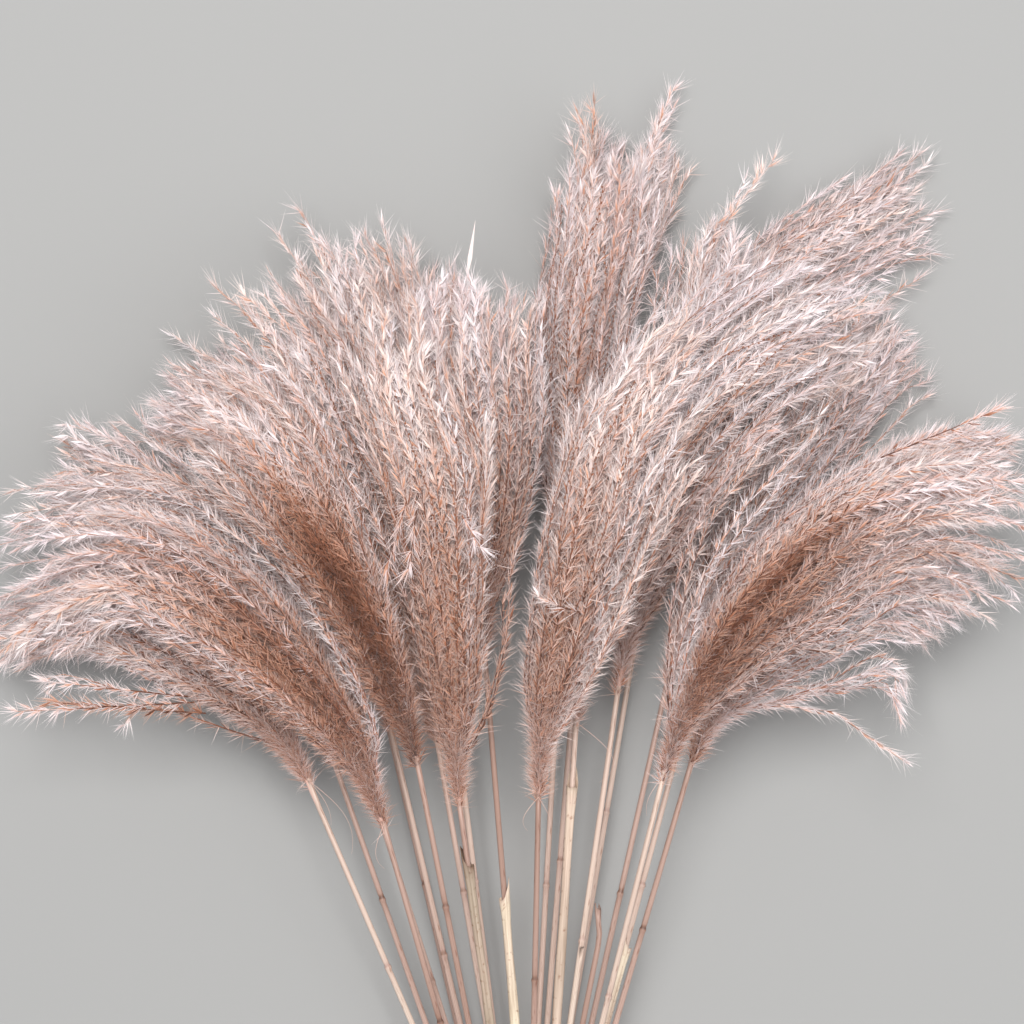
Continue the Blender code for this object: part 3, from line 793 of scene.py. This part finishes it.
def dress_plume(node, stalk, material, slot):
    """All branches of one plume, what is single on it, and the trunk that its branches leave."""
    middles, radii, _ = stalk
    base, heading = middles[-1], unit(middles[-1] - middles[-4])
    axis = Axis(node, base, heading)
    piece = Piece()
    number = int(node.name.rsplit("_", 1)[1])
    begin, paler = PLUME_RIPENING[slot]
    # Its paleness is partly painted light: lighter where the plume lies in shade, darker where less light
    # falls on it.
    lift = (begin, paler + PALER_AND_PAINTED_LIGHT.get(number, 0.0))
    squeeze = SQUEEZED.get(number, (1.0, 1.0))
    faint_band = (RNG.uniform(*FAINT_PLACES), *FAINT_BAND)
    bands = BROWN_AND_PAINTED_LIGHT_BANDS.get(number, (faint_band,))
    strawy = STRAWY.get(number, 0.0)
    dress_heap(piece, axis, CROWNS.get(number, CROWN), lift, bands, squeeze, strawy)
    for stray in STRAYS.get(number, ()):
        dress_branch(piece, *branch_path(axis, *stray), lift, streaks_and_painted_light_at(bands, stray[0]), strawy)
    for tip in FOLDED_TIPS.get(number, ()):
        dress_branch(piece, *straight_path(axis, *tip), FOLDED_LIFT)
    for course in STRAIGHT.get(number, ()):
        dress_branch(piece, *straight_path(axis, *course), lift)
    if number in VEINED:
        dress_veins(piece, axis, squeeze)
    tip, ahead = axis.points[-1], axis.headings[-1]
    for aside, length in BARE_BLADES.get(number, ()):
        foot = (tip + axis.rights[-1] * axis.half_width.max() * aside - ahead * length / 2)[None]
        pale = np.array([BARE_BLADE_TONE])
        end, above = foot + ahead * length, axis.aboves[-1]
        piece.leaves(foot, end, BARE_BLADE_HALF_WIDTH, (pale, pale), pale, above)
    for swing, length in THREADS.get(number, ()):
        dress_thread(piece, base, heading, swing, length)
    trunk = axis.at("points", np.linspace(0, TRUNK_STOP, TRUNK_POINTS))
    trunk[0] -= heading * TRUNK_OVERLAP
    girth = np.linspace(radii[-1] * TRUNK_FIT, BRANCH_RADIUS, TRUNK_POINTS)
    piece.tube(trunk, girth, TRUNK_SIDES, np.linspace(*TRUNK_TONES, TRUNK_POINTS), TRUNK_SHADE)
    piece.build(f"{node.name}_spray", material, [node.name])


# --- culms ---


def culm_axis(node):
    """Points from a culm's cut end to its top, its radius at each, and where its joint is."""
    triangles = triangles_of(node)
    corners = triangles.reshape(-1, 3)
    low, high = corners[:, 1].min(), corners[:, 1].max()
    heights = np.linspace(low + END_INSET, high - END_INSET, CULM_SECTIONS)
    along = np.array((0.0, 1.0, 0.0))
    rings = [section(triangles, along * height, along, WHOLE) for height in heights]
    middles = np.array([(ring.max(0) + ring.min(0)) / 2 for ring in rings])
    headings = unit(np.gradient(middles, axis=0))
    radii = []
    for ring, middle, heading in zip(rings, middles, headings):
        off = ring - middle
        off = off - (off @ heading)[:, None] * heading
        radii.append(np.linalg.norm(off, axis=1).max())
    plain = np.polyval(np.polyfit(heights, radii, 1), heights)
    swell = radii / plain
    joint = heights[swell.argmax()] if swell.max() > JOINT_SWELL else None
    ends = np.array([middles[0] - headings[0] * END_INSET, middles[-1] + headings[-1] * END_INSET])
    middles = np.concatenate([ends[:1], middles, ends[1:]])
    return middles, np.concatenate([plain[:1], plain, plain[-1:]]), joint


def dress_culm(node, stalk, material):
    """A ribbed stalk, its joint with a scar round it, and a tone that changes from one to the next."""
    name, broken = f"{node.name}_stalk", node.name == "snapped_culm"
    middles, radii, joint = stalk
    places = np.linspace(0, 1, CULM_RINGS)
    travelled = np.linspace(0, 1, len(middles))
    if joint is not None:
        at = np.interp(joint, middles[:, 1], travelled)
        span = np.linalg.norm(middles[-1] - middles[0])
        near = at + np.array(JOINT_OFFSETS) * JOINT_FLARE / span
        places = np.unique(np.concatenate([places, near]))
    path = rows_at(places, travelled, middles)[0]
    girth = np.interp(places, travelled, radii)
    if broken:
        path[:, 0] -= SNAP_LEAN * smooth((places - SNAP_FROM) / (1 - SNAP_FROM)) ** 2
    else:
        path[-1] += unit(path[-1] - path[-2]) * CULM_INTO_PLUME
    base_tone = RNG.uniform(*CULM_TONES)
    wave = np.sin(places * RNG.uniform(5, 11) + RNG.uniform(0, 6))
    tones = base_tone + TONE_WAVE * wave - DARKER_ABOVE * (places - 0.5)
    if joint is not None:
        off = (places - at) * span / JOINT_FLARE
        ridge, groove = np.exp(-(off**2)), np.exp(-((off - 1.5) ** 2) * 3)
        girth = girth * (1 + JOINT_RIDGE * ridge - JOINT_GROOVE * groove)
        scar = RNG.uniform(*SCARS)
        tones = tones - scar * np.exp(-((off - 1.2) ** 2) * 2) - 0.10 * np.exp(-((off / 5) ** 2))
    turns = tau * np.arange(CULM_SIDES) / CULM_SIDES
    ribbed = 1 + CULM_RIBS * np.cos(3 * turns + RNG.uniform(0, 6))
    headings, spread = spokes(path, turns)
    points = path[:, None] + spread * (girth[:, None] * ribbed)[..., None]
    if broken:
        points[-1] += headings[-1] * RNG.uniform(*SNAP_JAG, CULM_SIDES)[:, None]
        points[-1] += spread[-1] * RNG.uniform(*SNAP_SPLAY, CULM_SIDES)[:, None]
    rings = len(path)
    top_middle = path[-1:] - headings[-1:] * (SNAP_HOLLOW if broken else 0)
    points = np.concatenate([points.reshape(-1, 3), path[:1], top_middle])
    sides = np.arange(CULM_SIDES)
    beside = (sides + 1) % CULM_SIDES
    head, middle = (rings - 1) * CULM_SIDES, np.full(CULM_SIDES, rings * CULM_SIDES)
    foot = np.stack([beside, sides, middle], 1)
    top = np.stack([head + sides, head + beside, middle + 1], 1)
    walls = ring_faces(rings, CULM_SIDES)
    faces = np.concatenate([walls, foot, top])

    # The map is the stalk unrolled: round it from left to right, and along it from bottom to top.
    columns = MAP_LEFT + MAP_WIDTH * np.arange(CULM_SIDES + 1) / CULM_SIDES
    corner_places = [unrolled(walls, columns, MAP_FOOT + MAP_HEIGHT * places)]
    cap_u = MAP_LEFT + MAP_WIDTH * np.stack([sides, sides + 1, sides + 0.5], 1) / CULM_SIDES
    for cap_v in ((0.022, 0.022, 0.004), (0.978, 0.978, 0.996)):
        cap = np.stack([cap_u, np.tile(cap_v, (CULM_SIDES, 1))], -1)
        corner_places.append(cap.reshape(-1, 2))
    cap_tones = [CUT_TONE, SNAP_TONE if broken else tones[-1]]
    point_tones = np.concatenate([np.repeat(tones, CULM_SIDES), cap_tones])
    corners = np.concatenate(corner_places)
    mesh_piece(name, points, faces, corners, material, [node.name], True, point_tones)


def stalk_material(name, stops, roughness):
    """Dry straw: a tone that the mesh carries, fine fibres along the stalk, and small dark flecks."""
    material, tree, shader = new_material(name, roughness)
    tone = node_of(tree, "ShaderNodeAttribute", attribute_name="tone")
    base = colour_ramp(tree, tone.outputs["Fac"], stops)
    place = node_of(tree, "ShaderNodeUVMap", uv_map=UV_MAP).outputs["UV"]
    fibre, fibres = streaks(tree, place, (26.0, 5.0, 1.0), 4.0, 0.65, STALK_FIBRES)
    _, flecks = streaks(tree, place, (9.0, 46.0, 1.0), 2.0, 0.5, STALK_FLECKS)
    colour = multiplied(tree, multiplied(tree, base, fibres), flecks)
    tree.links.new(colour, shader.inputs["Base Color"])
    bump = node_of(tree, "ShaderNodeBump", Height=fibre, Strength=0.35, Distance=0.0002)
    tree.links.new(bump.outputs["Normal"], shader.inputs["Normal"])
    shader.inputs["Specular IOR Level"].default_value = 0.45
    return material


def reach_between(node, stalk):
    """How far the middle of a node's box is from a stalk's axis."""
    low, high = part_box(node.name)
    middle = (np.array(low) + np.array(high)) / 2
    return np.linalg.norm(stalk[0] - middle, axis=1).min()


def dress_sheath(node, stalk, material, tone):
    """A papery leaf base, rolled a bit more than once round its stalk, with a torn slanting mouth."""
    low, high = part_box(node.name)
    middles, radii, _ = stalk
    along = np.linspace(low[1] + SHEATH_FOOT, high[1] - SHEATH_MOUTH, SHEATH_RINGS)
    path = rows_at(along, middles[:, 1], middles)[0]
    girth = np.interp(along, middles[:, 1], radii)
    travel = np.linspace(0, 1, SHEATH_RINGS)
    gape = SHEATH_GAPE + GAPE_WAVE * np.sin(travel * 9 + RNG.uniform(0, 6))
    gape = gape + MOUTH_GAPE * smooth((travel - 0.90) / 0.10)
    inner = girth + gape * smooth(travel / 0.03 + 0.3)
    turns = RNG.uniform(0, tau) + np.linspace(0, SHEATH_TURNS * tau, SHEATH_SIDES)
    lap = np.linspace(0, SHEATH_LAP, SHEATH_SIDES)
    headings, spread = spokes(path, turns)
    ripple = SHEATH_RIPPLE * np.sin(3 * turns + 14 * travel[:, None])
    inside = path[:, None] + spread * (inner[:, None] + lap + ripple)[..., None]
    outside = inside + spread * SHEATH_WALL
    slant = (0.5 + 0.5 * np.cos(turns - turns[0] - 2.6)) ** 3 * SHEATH_SLANT
    jag = slant + RNG.uniform(0, SHEATH_TEAR, SHEATH_SIDES)
    push = headings[:, None] * (jag * (smooth((travel - 0.93) / 0.07))[:, None])[..., None]
    loop = np.concatenate([outside + push, (inside + push)[:, ::-1]], 1)
    sides = loop.shape[1]
    walls = ring_faces(SHEATH_RINGS, sides)
    side = np.arange(SHEATH_SIDES - 1)
    rim = np.stack([side, side + 1, sides - 2 - side, sides - 1 - side], 1)
    foot = np.concatenate([rim[:, (0, 2, 1)], rim[:, (0, 3, 2)]])
    mouth = np.concatenate([rim[:, (0, 1, 2)], rim[:, (0, 2, 3)]]) + (SHEATH_RINGS - 1) * sides
    faces = np.concatenate([walls, foot, mouth])

    # On the map the outer side takes the left part, and the inner side the rest.
    outer_u = np.linspace(0.02, 0.62, SHEATH_SIDES)
    inner_u = np.linspace(0.66, 0.96, SHEATH_SIDES)
    across_map = np.concatenate([outer_u, inner_u, [0.99]])
    rim_u = across_map[np.where(rim < SHEATH_SIDES, rim, sides - 1 - rim)]
    rim_v = np.where(np.arange(4) < 2, 0.004, 0.022)
    corner_places = [unrolled(walls, across_map, 0.04 + 0.92 * travel)]
    for order, at_mouth in (((0, 2, 1), 0), ((0, 3, 2), 0), ((0, 1, 2), 1), ((0, 2, 3), 1)):
        v = np.broadcast_to(rim_v[list(order)], (len(rim), 3))
        corner_places.append(np.stack([rim_u[:, order], 1 - v if at_mouth else v], -1).reshape(-1, 2))
    corners = np.concatenate(corner_places)
    tones = tone + SHEATH_WAVE * np.sin(travel * 7 + RNG.uniform(0, 6))
    tones = np.repeat(tones - RIM_DARKER * smooth((travel - 0.96) / 0.04), sides)
    name, points = f"{node.name}_wrap", loop.reshape(-1, 3)
    mesh_piece(name, points, faces, corners, material, [node.name], True, tones)


# --- twine ---


def dress_twine(node, stalks, material):
    """Plied twine wound round the stalks where its solid is, with a knot on top and short trimmed ends."""
    low, high = (np.array(corner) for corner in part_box(node.name))
    piece = Piece()
    centres = []
    middle_y = (low[1] + high[1]) / 2
    for middles, _, _ in stalks:
        if middles[-1, 1] > middle_y:
            centres.append([np.interp(middle_y, middles[:, 1], middles[:, k]) for k in (0, 2)])
    centres = np.array(centres)
    turns = np.linspace(0, TWINE_TURNS * tau, TWINE_TURNS * PLY_STEPS + 1) + pi / 2
    outward = np.stack([np.cos(turns), np.sin(turns)], 1)
    outermost = centres[(outward @ centres.T).argmax(1)]
    rim = (high[0] - low[0]) / 2 - np.ptp(centres[:, 0]) / 2
    radius = rim / WINDING_FIT
    ring = outermost + outward * (rim - radius)
    for _ in range(3):
        ring[1:-1] = (ring[:-2] + 2 * ring[1:-1] + ring[2:]) / 4
    along = np.linspace(low[1] + radius * 1.6, high[1] - radius * 1.6, len(turns))
    core = np.stack([ring[:, 0], along, ring[:, 1]], 1)
    plied(piece, core, radius, TWINE_TURNS * PLY_TWISTS)

    top = np.array((core[:, 0].mean(), middle_y, high[2]))
    size = np.array(KNOT_SIZE)
    angle = np.linspace(0, tau, 90)
    loop_x = np.sin(angle) + 0.9 * np.sin(2 * angle)
    loop_y = np.cos(angle) - 0.9 * np.cos(2 * angle)
    loop = np.stack([loop_x, loop_y, -np.sin(3 * angle)], 1)
    knot = top - (0, 0, size[2]) + loop * size * (0.42, 0.42, 0.75)
    plied(piece, knot, radius * 0.9, KNOT_TWISTS)
    for hand in (-1, 1):
        reach = np.linspace(0, 1, 16)[:, None]
        start = top + (hand * 0.0012, hand * 0.003, -0.0022)
        bow = (hand * 0.0045, hand * 0.010, -0.0012) * reach
        end = start + bow + (hand * 0.003, 0, -0.0008) * reach**2
        plied(piece, end, radius * 0.9, END_TWISTS)
    piece.build("twine_wrap", material, [node.name], True)


def plied(piece, core, radius, twists):
    """Strands twisted round one another along a core, with loose fibres."""
    headings = unit(np.gradient(core, axis=0))
    first = unit(np.cross(headings, (0.13, 0.98, 0.17)))
    second = np.cross(first, headings)
    turn = np.linspace(0, twists * tau, len(core))
    for ply in range(PLIES):
        angle = turn + ply * tau / PLIES
        spoke = first * np.cos(angle)[:, None] + second * np.sin(angle)[:, None]
        tones = 0.45 + 0.16 * np.sin(angle * 1.7 + ply) + RNG.normal(0, 0.05, len(core))
        piece.tube(core + spoke * radius * PLY_OFF, radius * PLY_FIT, PLY_SIDES, tones, 0.25 + 0.2 * ply)
    count = len(core) * FIBRES
    picked = RNG.integers(0, len(core), count)
    off = first[picked] * RNG.normal(0, 0.5, (count, 1))
    off = off + second[picked] * RNG.normal(0, 0.5, (count, 1))
    roots = core[picked] + off * radius
    aim = unit(RNG.normal(size=(count, 3)) + headings[picked])
    ends = roots + aim * RNG.uniform(*FIBRE_LENGTHS, (count, 1))
    tone = RNG.uniform(0.4, 0.9, count)
    facing = RNG.normal(size=(count, 3))
    shade = RNG.uniform(0.1, 0.9, count)
    piece.blades(roots, ends, FIBRE_HALF_WIDTH, (tone, tone + 0.1), shade, facing)


# --- stage ---


def area_light(name, place, aim, size, power, colour):
    """A square lamp at this place, turned to its aim."""
    light = bpy.data.lights.new(name, "AREA")
    light.shape = "SQUARE"
    light.size = size
    light.energy = power
    light.color = colour
    lamp = bpy.data.objects.new(name, light)
    bpy.context.scene.collection.objects.link(lamp)
    lamp.location = place
    direction = np.array(aim) - np.array(place)
    lamp.rotation_euler = Vector(direction).to_track_quat("-Z", "Y").to_euler()


def set_stage(high):
    """Pale floor, soft light, and a camera straight above the plumes of a bundle that ends at high."""
    bpy.ops.mesh.primitive_plane_add(size=FLOOR_SIZE)
    floor = bpy.context.object
    floor.name = "floor"
    paper, _, shader = new_material("floor_paper", 0.9)
    shader.inputs["Base Color"].default_value = (*FLOOR_GREY, 1.0)
    floor.data.materials.append(paper)

    centre_y = high[1] + TOP_MARGIN - VIEW_WIDTH / 2
    aim = (0.0, centre_y, AIM_HEIGHT)
    key, fill = (-0.12, centre_y + 0.40, 1.8), (1.0, centre_y - 0.4, 1.5)
    area_light("key", key, aim, size=0.9, power=37, colour=(1.0, 0.99, 0.98))
    area_light("fill", fill, aim, size=1.4, power=10, colour=(0.98, 0.99, 1.0))

    world = bpy.data.worlds.new("studio")
    scene = bpy.context.scene
    scene.world = world
    world.use_nodes = True
    background = world.node_tree.nodes["Background"]
    background.inputs["Color"].default_value = (*SKY, 1.0)
    background.inputs["Strength"].default_value = SKY_STRENGTH

    camera = bpy.data.cameras.new("camera")
    camera.sensor_width = 36.0
    camera.lens = camera.sensor_width * (CAMERA_HEIGHT - high[2] / 2) / VIEW_WIDTH
    camera.clip_end = 50.0
    eye = bpy.data.objects.new("camera", camera)
    scene.collection.objects.link(eye)
    eye.location = (0.0, centre_y, CAMERA_HEIGHT)
    scene.camera = eye
    scene.view_settings.view_transform = "Standard"
    scene.view_settings.look = "None"


# --- the bundle ---

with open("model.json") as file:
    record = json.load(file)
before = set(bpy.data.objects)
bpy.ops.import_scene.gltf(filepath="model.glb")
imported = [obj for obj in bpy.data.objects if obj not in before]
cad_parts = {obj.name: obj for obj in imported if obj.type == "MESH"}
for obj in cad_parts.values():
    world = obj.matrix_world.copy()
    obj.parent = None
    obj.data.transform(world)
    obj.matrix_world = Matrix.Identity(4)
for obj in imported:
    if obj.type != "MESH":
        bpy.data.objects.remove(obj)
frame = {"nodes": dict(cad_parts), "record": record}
cad_low, cad_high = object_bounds()
nodes = frame["nodes"]
slots = {part["node"]: part["material_slot"] for part in frame["record"]["subparts"]}
side_reach = max(abs(corner[0]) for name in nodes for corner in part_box(name))

plume_materials = {slot: palette_material(slot, PLUME_STOPS, 0.7, 0.35) for slot in PLUME_RIPENING}
culm_material = stalk_material("culm", CULM_STOPS, 0.42)
sheath_material = stalk_material("sheath", SHEATH_STOPS, 0.55)
twine_material = palette_material("twine", TWINE_STOPS, 0.9, 0.0)

stalks = {}
for name in sorted(nodes):
    if "culm" in name:
        stalks[name] = culm_axis(nodes[name])
        dress_culm(nodes[name], stalks[name], culm_material)
for name in sorted(nodes):
    if name.startswith("plume"):
        stalk, slot = stalks[name.replace("plume", "culm")], slots[name]
        dress_plume(nodes[name], stalk, plume_materials[slot], slot)
for number, tone in enumerate(SHEATH_TONES, 1):
    sheath = nodes[f"leaf_sheath_{number}"]
    holder = min(stalks.values(), key=lambda stalk: reach_between(sheath, stalk))
    dress_sheath(sheath, holder, sheath_material, tone)
dress_twine(nodes["twine_tie"], stalks.values(), twine_material)

set_stage(cad_high)
